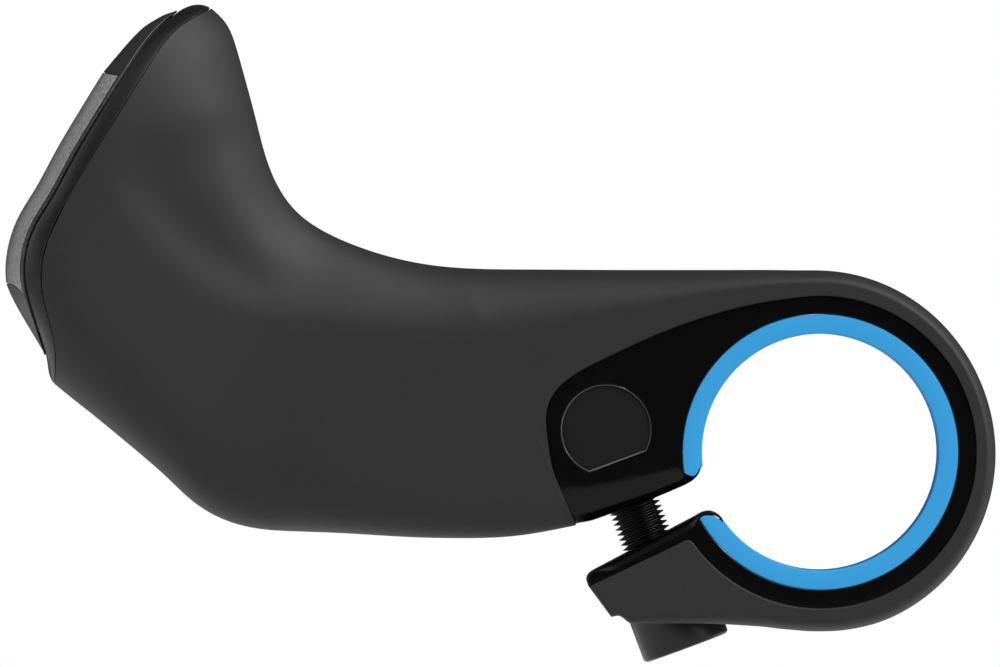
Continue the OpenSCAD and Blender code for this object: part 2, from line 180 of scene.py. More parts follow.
def loop_offset(p, d):
    """Moves a closed outline to its left by d (a number or one per point)."""
    p = np.asarray(p, float)
    a, b = p - np.roll(p, 1, 0), np.roll(p, -1, 0) - p
    a /= np.linalg.norm(a, axis=1)[:, None] + 1e-12
    b /= np.linalg.norm(b, axis=1)[:, None] + 1e-12
    na, nb = np.stack([-a[:, 1], a[:, 0]], 1), np.stack([-b[:, 1], b[:, 0]], 1)
    n = na + nb
    n /= np.maximum((1 + (na * nb).sum(1))[:, None], 0.35)
    return p + n * np.asarray(d, float).reshape(-1, 1)


def area2(p):
    x, y = p[:, 0], p[:, 1]
    return float((x * np.roll(y, -1) - y * np.roll(x, -1)).sum())


def tidy(p, gap=0.02):
    p = np.asarray(p, float)
    keep = [0]
    for i in range(1, len(p)):
        if np.linalg.norm(p[i] - p[keep[-1]]) > gap:
            keep.append(i)
    if np.linalg.norm(p[keep[-1]] - p[0]) <= gap:
        keep.pop()
    return p[keep]


def prism(name, outline, half, round_w, round_d=None, steps=6, holes=(), sharp=35):
    """A closed prism along Y with rounded edges at both sides. round_w and
    round_d are the width and depth of the rounding, one per outline point.
    A hole is (outline, rounding)."""
    verts, faces = [], []
    rings = []

    def sleeve(p, w, d):
        n = len(p)
        ang = np.linspace(0, math.pi / 2, steps + 1)
        first = len(verts)
        for side in (-1, 1):
            for a in (ang[::-1] if side < 0 else ang):
                q = loop_offset(p, w * (1 - math.cos(a)))
                y = half - d + d * math.sin(a)
                y = np.broadcast_to(y, (n,))
                verts.extend([(q[i, 0], side * y[i], q[i, 1]) for i in range(n)])
        rows = 2 * (steps + 1)
        faces.extend(grid_faces(rows, n, True, first))
        return list(range(first, first + n)), list(range(first + (rows - 1) * n, first + rows * n))

    p = tidy(outline)
    if area2(p) < 0:
        p = p[::-1]
        round_w = np.asarray(round_w)[::-1] if np.ndim(round_w) else round_w
        round_d = np.asarray(round_d)[::-1] if np.ndim(round_d) else round_d
    w = np.broadcast_to(np.asarray(round_w, float), (len(p),))
    d = w if round_d is None else np.broadcast_to(np.asarray(round_d, float), (len(p),))
    rings.append(sleeve(p, w, d))
    for h, r in holes:
        h = tidy(h)
        if area2(h) > 0:
            h = h[::-1]
        rr = np.full(len(h), float(r))
        rings.append(sleeve(h, rr, rr))
    for side in (0, 1):
        ids = [i for r in rings for i in r[side]]
        pts = [Vector((verts[i][0], verts[i][2])) for i in ids]
        edges, at = [], 0
        for r in rings:
            n = len(r[side])
            edges += [(at + k, at + (k + 1) % n) for k in range(n)]
            at += n
        out = delaunay_2d_cdt(pts, edges, [], 1, 1e-7)
        back = [o[0] if o else -1 for o in out[3]]
        hole_rings = [np.array([[verts[i][0], verts[i][2]] for i in r[side]]) for r in rings[1:]]
        for f in out[2]:
            c = sum((out[0][k] for k in f), Vector((0, 0))) / len(f)
            if any(inside(c, hr) for hr in hole_rings):
                continue
            if all(back[k] >= 0 for k in f):
                faces.append([ids[back[k]] for k in f])
    return obj_from(name, verts, faces, sharp)


def inside(c, poly):
    x, y = poly[:, 0], poly[:, 1]
    x2, y2 = np.roll(x, -1), np.roll(y, -1)
    hit = ((y > c[1]) != (y2 > c[1]))
    with np.errstate(divide="ignore", invalid="ignore"):
        xs = x + (c[1] - y) * (x2 - x) / (y2 - y)
    return bool(np.count_nonzero(hit & (c[0] < xs)) % 2)


def screw_place(v):
    """From the screw's own frame (+Z out along the screw) to the row frame."""
    v = np.asarray(v, float)
    c, s = math.cos(TILT), math.sin(TILT)
    return np.stack([NUT[0] - v[:, 0] * c + v[:, 2] * s, v[:, 1],
                     NUT[1] - v[:, 0] * s - v[:, 2] * c], 1)


def revolve(name, prof, n=96, place=True, sharp=35):
    """Turns a closed profile of (radius, height) round the screw's axis."""
    a = np.linspace(0, 2 * math.pi, n, endpoint=False)
    verts = np.concatenate([np.stack([r * np.cos(a), r * np.sin(a), np.full(n, z)], 1) for r, z in prof])
    faces = grid_faces(len(prof), n, True)
    last = len(prof) - 1
    if prof[0][0] == prof[-1][0] and prof[0][1] == prof[-1][1]:
        verts = verts[:-n]
        faces = [tuple(k % (last * n) for k in f) for f in faces]
    return obj_from(name, screw_place(verts) if place else verts, faces, sharp)


def cut(ob, *tools):
    for t in tools:
        m = ob.modifiers.new("cut", "BOOLEAN")
        m.operation, m.solver, m.object = "DIFFERENCE", "EXACT", t
    dg = bpy.context.evaluated_depsgraph_get()
    me = bpy.data.meshes.new_from_object(ob.evaluated_get(dg))
    ob.modifiers.clear()
    ob.data = me
    for t in tools:
        bpy.data.objects.remove(t)


def weighted(ob):
    m = ob.modifiers.new("flat", "WEIGHTED_NORMAL")
    m.mode, m.weight, m.keep_sharp = "FACE_AREA", 80, True


# ---- materials ---------------------------------------------------------------

def material(name, color, rough, metal=0.0, spec=0.5, coat=0.0, coat_rough=0.1, grain=None, sheen=0.0, painted_edge_shade=None):
    m = bpy.data.materials.new(name)
    m.use_nodes = True
    nt = m.node_tree
    b = nt.nodes["Principled BSDF"]
    b.inputs["Base Color"].default_value = (*color, 1)
    b.inputs["Roughness"].default_value = rough
    b.inputs["Metallic"].default_value = metal
    b.inputs["Specular IOR Level"].default_value = spec
    b.inputs["Coat Weight"].default_value = coat
    b.inputs["Coat Roughness"].default_value = coat_rough
    b.inputs["Sheen Weight"].default_value = sheen
    m.diffuse_color = (*color, 1)
    if grain:
        scale, height, lift = grain
        tc = nt.nodes.new("ShaderNodeTexCoord")
        nz = nt.nodes.new("ShaderNodeTexNoise")
        nz.inputs["Scale"].default_value = scale
        nz.inputs["Detail"].default_value = 2.0
        nt.links.new(tc.outputs["Object"], nz.inputs["Vector"])
        bp = nt.nodes.new("ShaderNodeBump")
        bp.inputs["Strength"].default_value = 1.0
        bp.inputs["Distance"].default_value = height
        nt.links.new(nz.outputs["Fac"], bp.inputs["Height"])
        nt.links.new(bp.outputs["Normal"], b.inputs["Normal"])
        if lift:
            cr = nt.nodes.new("ShaderNodeValToRGB")
            cr.color_ramp.elements[0].position = 0.3
            cr.color_ramp.elements[1].position = 0.7
            cr.color_ramp.elements[0].color = (*[c * (1 - lift) for c in color], 1)
            cr.color_ramp.elements[1].color = (*[min(c * (1 + lift), 1) for c in color], 1)
            nt.links.new(nz.outputs["Fac"], cr.inputs["Fac"])
            nt.links.new(cr.outputs["Color"], b.inputs["Base Color"])
            if painted_edge_shade:
                # painted shade: the colour is darkened where the surface turns away from the view, standing in for the
                # dark outline along the silhouettes
                lw, mr = nt.nodes.new("ShaderNodeLayerWeight"), nt.nodes.new("ShaderNodeMapRange")
                lw.inputs["Blend"].default_value = 0.5
                for key, v in (("From Min", 0.82), ("From Max", 0.97), ("To Min", 1.0), ("To Max", painted_edge_shade)):
                    mr.inputs[key].default_value = v
                sc = nt.nodes.new("ShaderNodeVectorMath")
                sc.operation = "SCALE"
                nt.links.new(lw.outputs["Facing"], mr.inputs["Value"])
                nt.links.new(cr.outputs["Color"], sc.inputs[0])
                nt.links.new(mr.outputs["Result"], sc.inputs["Scale"])
                nt.links.new(sc.outputs["Vector"], b.inputs["Base Color"])
    return m


# the cover, cap and inlay get painted shade: their colour darkens where they turn away from the view
SOFT = material("soft_cover", (0.0165, 0.0165, 0.0175), 0.54, spec=0.32, grain=(2600, 0.000004, 0.06), painted_edge_shade=0.25)
GLOSS = material("gloss_core", (0.0021, 0.0021, 0.0023), 0.2, spec=0.2)
BLUE = material("liner_blue", (0.034, 0.316, 0.66), 0.5, spec=0.2)
NUTM = material("nut_steel", (0.0038, 0.0038, 0.004), 0.42, spec=0.3)
# painted highlight: a light grey for the thin bright ring round the nut's end, where the pocket's edge catches the
# light
NUT_HIGHLIGHT = material("nut_edge_highlight", (0.20, 0.20, 0.20), 0.38, spec=0.6)
SCREW = material("screw_black", (0.0065, 0.0065, 0.0068), 0.3, metal=0.0, spec=0.4)
STEEL = material("washer_steel", (0.45, 0.45, 0.46), 0.35, metal=1.0)
CAP = material("cap_grain", (0.0235, 0.0235, 0.025), 0.42, spec=0.5, grain=(3600, 0.00001, 0.8), painted_edge_shade=0.3)
INLAY = material("inlay_grain", (0.25, 0.25, 0.25), 0.5, spec=0.4, grain=(3600, 0.00001, 0.5), painted_edge_shade=0.25)
FLANGE = material("flange_satin", (0.0065, 0.0065, 0.007), 0.36, spec=0.35, grain=(3600, 0.000005, 0.3))


def done(ob, mat, node, body):
    ob.data.materials.clear()
    ob.data.materials.append(mat)
    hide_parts(node)
    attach(ob, body)
    return ob


# ---- the side view's outlines --------------------------------------------------

RIM = [[-72.65, 9.0], [-73.5, 11.6], [-74.27, 14.1], [-74.72, 16.5], [-74.54, 18.9], [-73.65, 21.4],
       [-72.02, 24.1], [-70.24, 27.4], [-68.3, 30.7], [-66.4, 33.8], [-64.5, 36.8], [-62.6, 39.4],
       [-60.2, 41.5]]
EDGE = [[-72.0, 6.4], [-71.85, 9.3], [-72.45, 12.2], [-73.1, 15.0], [-73.12, 17.8], [-72.28, 20.7],
        [-70.8, 23.7], [-69.0, 26.8], [-67.0, 30.0], [-64.9, 33.4], [-62.7, 36.9], [-60.5, 39.7],
        [-57.2, 41.7]]


def along(c, f):
    """Point of a control curve at the share f of its rows."""
    return ncs(np.arange(len(c)), c, np.asarray(f, float) * (len(c) - 1))


def rim_normal(f):
    f = np.asarray(f, float)
    d = along(RIM, np.minimum(f + 0.004, 1)) - along(RIM, np.maximum(f - 0.004, 0))
    d /= np.linalg.norm(d, axis=1)[:, None]
    return np.stack([-d[:, 1], d[:, 0]], 1)


def face_w(v):
    v = np.asarray(v, float)
    p = np.where(v < 0, 2.8, 2.4)
    return np.maximum(1 - np.abs(v) ** p, 0) ** (1 / 2.2)


def bow(v):
    h = (1 + v) / 2
    e = np.asarray(EDGE, float)
    return along(EDGE, h) - (e[0] + (e[-1] - e[0]) * h[:, None])


K = np.array([-22.9, -6.87])
SIDE = [K, [-24.1, -4.2], [-25.1, -1.7], [-25.6, 1.2], [-25.75, 3.4], [-25.2, 5.2], [-23.6, 6.9],
        [-20.6, 8.6], [-17.0, 10.3], [-13.1, 11.9], [-9.4, 13.1], [-5.6, 14.0], [-1.5, 14.573]]
side_curve = join(through(SIDE), arc((0, 0), RING_R, 95.85, 91))
CORNER = np.array([-12.23, -8.08])
LUG_END = np.array([-21.73, -12.62])
lug_dir = (LUG_END - CORNER) / np.linalg.norm(LUG_END - CORNER)
ring_curve = arc((0, 0), RING_R, 91, -143.5)
# rounded corner between the ring and the lug's edge
c0, c1 = ring_curve[-1], CORNER + lug_dir * 1.0
cc = np.array([-12.28, -7.86])
corner_curve = np.array([(1 - t) ** 2 * c0 + 2 * t * (1 - t) * cc + t * t * c1 for t in np.linspace(0, 1, 12)])
lug_curve = np.linspace(c1, LUG_END, 60)

SLOT_TOP = [[-27.3, -7.55], [-25.0, -7.18], [-23.6, -6.88], [-22.9, -6.72], [-22.4, -6.62], [-21.6, -6.47], [-20.5, -6.11], [-18.5, -5.40], [-16.5, -4.66], [-14.8, -4.0],
            [-13.69, -3.52], [-12.6, -3.03], [-11.95, -2.62], [-11.45, -2.08], [-11.16, -1.35]]
LIP_TOP = [[-11.16, -1.35], [-11.24, -1.38], [-11.5, -1.88], [-11.95, -2.3], [-12.65, -2.78]]
LIP_LOW = [[-11.37, -6.2], [-11.1, -5.98], [-10.5, -5.86], [-9.92, -5.97], [-9.42, -6.28], [-9.16, -6.72]]
SLOT_LOW = [[-9.05, -6.68], [-9.22, -6.18], [-9.7, -5.75], [-10.4, -5.55], [-11.1, -5.7], [-11.9, -6.14],
            [-13.5, -6.98], [-16.0, -8.32], [-18.5, -9.65], [-20.6, -10.77], [-21.3, -11.15],
            [-21.72, -11.48], [-21.93, -12.0], LUG_END]


# ---- core: the clamp -------------------------------------------------------------

def build_core():
    top = through(SLOT_TOP, 0.12)
    lip_t = through(LIP_TOP, 0.1)
    bore = arc((0, 0), LINER_R, 180 + 12.4, -180 + 28.6, 0.3)
    lip_l = through(LIP_LOW, 0.1)
    low = join(through(SLOT_LOW[:5], 0.1), np.array(SLOT_LOW[4:9]), through(SLOT_LOW[9:], 0.1))
    low_f = []
    for a, b in zip(low[:-1], low[1:]):
        n = max(int(np.linalg.norm(b - a) / 0.25), 1)
        low_f += [a + (b - a) * k / n for k in range(n)]
    low = np.array(low_f + [low[-1]])
    seg = [top, lip_t, bore, lip_l, low, lug_curve[::-1], corner_curve[::-1], ring_curve[::-1][::2],
           np.array([[-1.6, 14.62], [-5.6, 14.6], [-9.4, 14.1], [-13.1, 13.4], [-17.0, 12.2], [-20.6, 10.9],
                     [-24.2, 9.4], [-26.6, 6.8], [-27.8, 3.6], [-28.0, -1.7], [-27.9, -5.5]])]
    pts, tag = [], []
    for k, s in enumerate(seg):
        for q in s:
            if pts and np.linalg.norm(q - pts[-1]) < 0.045:
                continue
            pts.append(np.asarray(q, float))
            tag.append(k)
    while np.linalg.norm(pts[-1] - pts[0]) < 0.045:
        pts.pop()
        tag.pop()
    pts, tag = np.array(pts), np.array(tag)
    w = np.full(len(pts), 0.10)
    d = np.full(len(pts), 0.10)
    s = chord(pts)
    for i in range(len(pts)):
        x = pts[i, 0]
        if tag[i] == 0:
            if x < -12.9:
                t = max(x + 22.9, 0) / 10.0
                w[i], d[i] = 3.8 + (1.95 - 3.8) * t, 2.5 + (1.8 - 2.5) * t
            else:
                t = min(max((-11.5 - x) / 1.4, 0), 1)
                t = t * t * (3 - 2 * t)
                w[i], d[i] = 0.14 + 1.81 * t, 0.14 + 1.66 * t
        elif tag[i] == 4:
            if x < -11.1:
                t = min((-11.1 - x) / 1.6, 1)
                t = t * t * (3 - 2 * t)
                e = min(max((x + 21.5) / 2.4, 0), 1)
                e = e * e * (3 - 2 * e)
                w[i] = 0.14 + (1.16 * t) * (0.1 + 0.9 * e)
                d[i] = 0.14 + (1.1 * t) * (0.1 + 0.9 * e)
            else:
                w[i] = d[i] = 0.14
        elif tag[i] in (1, 3):
            w[i] = d[i] = 0.08
        elif tag[i] in (5, 6, 7, 8):
            w[i] = d[i] = 0.05
    # pocket for the nut: a circle with a flat across the screw
    n = (math.sin(TILT), -math.cos(TILT))
    flat, r = 3.27, 4.25
    half = math.degrees(math.acos(flat / r))
    base = math.degrees(math.atan2(n[1], n[0]))
    pocket = arc(NUT, r, base + half + 1.5, base + 360 - half - 1.5, 0.2)
    ob = prism("core_clamp", pts, HALF_W, w, d, 9, [(pocket, 0.08)], sharp=None)
    holes = [revolve("cut_a", [(0.001, -5.2), (2.75, -5.2), (2.75, 20.8), (0.001, 20.8)], 64),
             revolve("cut_b", [(0.001, 15.8), (4.65, 15.8), (4.65, 27.8), (0.001, 27.8)], 96)]
    cut(ob, *holes)
    shade(ob, 42)
    weighted(ob)
    return done(ob, GLOSS, "core", "bar_end")


def flange_v(a):
    c = np.cos(a)
    return np.where(c >= 0, np.abs(c) ** (2 / 2.4), -np.abs(c) ** (2 / 2.8))


def build_flange():
    a = np.linspace(0, math.pi, 121)
    v = flange_v(a)
    W = 12 * 0.965

    def row(g, inset, drop=0.0):
        df = inset / 37.5
        f = df + (1 + v) / 2 * (1 - 2 * df)
        r, e = along(RIM, f), along(EDGE, f)
        q = np.clip(2 * (1 + v) / 2 - 1, -1, 1)
        o = (0.5 * np.abs(q) ** 8)[:, None] * np.where(q[:, None] > 0, [[0.2, 0.95]], [[-0.3, -0.7]])
        mid = (r + e) / 2 + o
        c = r * (1 - g) * (1 - 2 * g) + mid * 4 * g * (1 - g) + e * g * (2 * g - 1)
        w = 11.5 * (1 - g) * (1 - 2 * g) + 11.82 * 4 * g * (1 - g) + 11.98 * g * (2 * g - 1) - inset
        c = c - rim_normal(f) * drop
        y = w * face_w(v)
        side = np.stack([c[:, 0], -y, c[:, 1]], 1)
        other = np.stack([c[:, 0], y, c[:, 1]], 1)
        return np.concatenate([side, other[-2:0:-1]])

    rows = [row(0, 0.95, 0.7), row(0, 0.8, 0.05), row(0, 0.22), row(0, 0.1), row(0.03, 0.035), row(0.09, 0.0)]
    rows += [row(g, 0) for g in (0.2, 0.35, 0.5, 0.65, 0.8, 0.9)]
    rows += [row(0.94, 0.01), row(0.965, 0.05), row(0.975, 0.12), row(0.98, 0.45), row(1.0, 0.8)]
    n = len(rows[0])
    faces = grid_faces(len(rows), n, True)
    for first in (0, (len(rows) - 1) * n):
        h = n // 2
        for k in range(h):
            p, q = first + k, first + k + 1
            faces.append([p, q, first + (n - k - 1) % n, first + (n - k) % n] if 0 < k < h - 1
                         else ([p, q, first + (n - 1)] if k == 0 else [p, q, first + (n - k) % n]))
    ob = obj_from("core_flange", np.concatenate(rows), faces, 50)
    return done(ob, FLANGE, "core", "bar_end")


# ---- grip ---------------------------------------------------------------------

HEAD = [
    [-57.2, 41.7, -72.0, 6.4, 11.9, 2.4, 2.2, 2.8, 2.2, 1.00],
    [-55.9, 40.4, -70.4, 5.1, 11.75, 2.4, 2.2, 3.0, 2.2, 0.93],
    [-54.8, 37.8, -68.5, 3.6, 11.2, 2.5, 2.2, 3.4, 2.2, 0.80],
    [-53.9, 34.6, -66.3, 1.8, 10.5, 2.6, 2.2, 3.9, 2.2, 0.63],
    [-53.0, 31.2, -63.9, -0.2, 9.8, 2.7, 2.2, 4.3, 2.2, 0.46],
    [-52.1, 27.8, -61.4, -2.4, 9.1, 2.9, 2.15, 4.6, 2.2, 0.32],
    [-50.9, 24.9, -58.9, -4.7, 8.5, 3.1, 2.15, 4.8, 2.2, 0.21],
    [-49.2, 22.6, -56.2, -6.3, 8.15, 3.2, 2.15, 4.8, 2.2, 0.13],
    [-46.9, 20.9, -53.0, -7.2, 7.98, 3.2, 2.15, 4.7, 2.2, 0.07]]
# T x, z, B x, z, half width, outer corner's width, height, p, q, inner corner's
# width, height, p, q, share of the bow, rounding at the window's edge
ROWS = []
for r, (cw, cp) in zip(HEAD, ((20, 2.4), (17.0, 2.4), (13.6, 2.35), (11.2, 2.3), (9.6, 2.25), (8.6, 2.2),
                             (8.1, 2.15), (7.9, 2.1), (7.9, 2.05))):
    L = math.hypot(r[0] - r[2], r[1] - r[3]) / 2
    ROWS.append([*r[:5], min(cw, L), r[4], cp, 2.15 if cw < L else r[6], L, r[4], r[7], r[8], r[9], 0.0])
NECK_T = [[-43.9, 19.5], [-40.2, 18.3], [-36.0, 17.5], [-31.6, 17.2], [-27.0, 17.15], [-22.0, 17.12]]
NECK_B = [[-48.8, -7.5], [-43.9, -7.7], [-38.6, -8.0], [-33.5, -8.1], [-28.8, -7.9], [-25.6, -7.42]]
ROWS += [
    [-43.9, 19.5, -48.8, -7.5, 7.91, 7.9, 7.5, 2.05, 2.1, 9.0, 7.91, 3.9, 2.2, 0.03, 0],
    [-42.0, 18.9, -43.9, -7.7, 7.88, 7.85, 7.2, 2.0, 2.05, 6.0, 6.4, 3.0, 2.15, 0, 0],
    [-40.2, 18.3, -38.6, -8.0, 7.86, 7.75, 7.0, 2.0, 2.0, 4.4, 5.0, 2.4, 2.1, 0, 0],
    [-38.4, 17.9, -33.5, -8.1, 7.85, 7.6, 6.8, 2.0, 2.0, 3.9, 3.9, 2.2, 2.05, 0, 0],
    [-36.6, 17.6, -28.8, -7.9, 7.84, 7.4, 6.65, 2.0, 2.0, 3.8, 3.0, 2.05, 2.0, 0, 0],
    [-35.3, 17.45, -25.6, -7.42, 7.83, 7.2, 6.55, 2.0, 2.0, 3.8, 2.6, 2.0, 2.0, 0, 0],
    [-34.3, 17.35, K[0], K[1], 7.82, 7.03, 6.48, 2.0, 2.0, 3.8, 2.5, 2.0, 2.0, 0, 0],
    [-33.9, 17.32, -23.2, -6.2, 7.82, 6.95, 6.45, 2.0, 2.0, 3.0, 2.5, 2.0, 2.0, 0, 0.12],
    [-33.0, 17.28, -24.1, -4.2, 7.81, 6.8, 6.38, 2.0, 2.0, 1.2, 2.5, 2.0, 2.0, 0, 0.2],
    [-31.3, 17.2, -25.1, -1.7, 7.8, 6.5, 6.23, 2.0, 2.0, 0.25, 2.5, 2.0, 2.0, 0, 0.2],
    [-29.2, 17.16, -25.6, 1.2, 7.8, 6.15, 6.04, 2.0, 2.0, 0.2, 2.5, 2.0, 2.0, 0, 0.2],
    [-27.0, 17.15, -25.75, 3.4, 7.8, 5.78, 5.84, 2.0, 2.0, 0.2, 2.5, 2.0, 2.0, 0, 0.2],
    [-24.6, 17.14, -25.2, 5.2, 7.8, 5.36, 5.6, 2.0, 2.0, 0.2, 2.5, 2.0, 2.0, 0, 0.2],
    [-21.6, 17.12, -23.6, 6.9, 7.8, 4.83, 5.3, 2.0, 2.0, 0.2, 2.5, 2.0, 2.0, 0, 0.2],
    [-18.0, 17.1, -20.6, 8.6, 7.8, 4.2, 4.95, 2.0, 2.0, 0.2, 2.5, 2.0, 2.0, 0, 0.2],
    [-14.6, 17.1, -17.0, 10.3, 7.8, 3.58, 4.6, 2.0, 2.0, 0.2, 2.5, 2.0, 2.0, 0, 0.2],
    [-11.3, 17.1, -13.1, 11.9, 7.8, 3.0, 4.28, 2.0, 2.0, 0.2, 2.5, 2.0, 2.0, 0, 0.2],
    [-8.2, 17.1, -9.4, 13.1, 7.8, 2.5, 4.03, 2.0, 2.0, 0.2, 2.5, 2.0, 2.0, 0, 0.2],
    [-5.0, 17.1, -5.6, 14.0, 7.8, 2.05, 3.8, 2.0, 2.0, 0.2, 2.5, 2.0, 2.0, 0, 0.2],
    [-1.4, 17.06, -1.5, 14.57, 7.8, 1.9, 3.6, 2.0, 2.0, 0.2, 2.5, 2.0, 2.0, 0, 0.2]]
RING_C = (-0.4, 0.13)
RING_A = [92, 80, 57, 27, 17, 0, -29, -47.8, -66, -81.6, -91, -98, -104.2]
RING_RAD = [16.935, 16.93, 16.86, 16.77, 16.79, 16.88, 17.04, 17.16, 17.2, 17.06, 16.97, 16.99, 17.15]
for t in (75, 60, 45, 30, 15, 0, -15, -30, -45, -60, -75, -90):
    r = float(mono(-np.array(RING_A), RING_RAD, -float(t)))
    ca, sa = math.cos(math.radians(t)), math.sin(math.radians(t))
    ROWS.append([RING_C[0] + r * ca, RING_C[1] + r * sa, RING_R * ca, RING_R * sa, 7.8, 1.85, 3.4, 2, 2,
                 0.2, 2.5, 2, 2, 0, 0.2])
ROWS += [
    [-4.6, -16.5, -3.79, -14.15, 7.8, 1.8, 3.2, 2, 2, 0.2, 2.5, 2, 2, 0, 0.2],
    [-8.0, -16.2, -7.76, -12.42, 7.8, 1.5, 2.6, 2, 2, 0.2, 2.5, 2, 2, 0, 0.2],
    [-10.8, -16.12, -10.5, -10.2, 7.8, 1.2, 2.0, 2, 2, 0.2, 2.5, 2, 2, 0, 0.2],
    [-12.5, -16.1, -12.15, -8.4, 7.8, 1.0, 1.7, 2, 2, 0.2, 2.5, 2, 2, 0, 0.2],
    [-14.2, -16.1, -13.9, -8.87, 7.8, 0.9, 1.5, 2, 2, 0.2, 2.5, 2, 2, 0, 0.2],
    [-16.2, -16.1, -16.6, -10.16, 7.8, 0.8, 1.3, 2, 2, 0.2, 2.5, 2, 2, 0, 0.2],
    [-17.73, -16.1, -19.0, -11.3, 7.8, 0.7, 1.1, 2, 2, 0.2, 2.5, 2, 2, 0, 0.2],
    [-18.25, -15.84, -19.7, -11.65, 7.8, 0.6, 1.0, 2, 2, 0.2, 2.5, 2, 2, 0, 0.2],
    [-18.85, -15.4, -20.5, -12.02, 7.8, 0.5, 0.9, 2, 2, 0.2, 2.5, 2, 2, 0, 0.2],
    [-19.62, -15.48, -21.73, -12.62, 7.8, 0.45, 0.8, 2, 2, 0.2, 2.5, 2, 2, 0, 0.2]]


def step01(t):
    t = np.clip(t, 0, 1)
    return t * t * t * (t * (6 * t - 15) + 10)


def shoulder(pos):
    """How far the fin's side lies behind the bulge below it."""
    d = pos - np.array([-46.3, 34.4])
    r = np.hypot(d[:, 0], d[:, 1])
    a = np.degrees(np.arctan2(d[:, 1], d[:, 0])) % 360
    run = step01((a - 186) / 30) * (1 - step01((a - 256) / 40))
    return SHOULDER * step01((20.6 + 3.2 - r) / 6.4) * run * step01(r / 9)


SHOULDER = 0.9


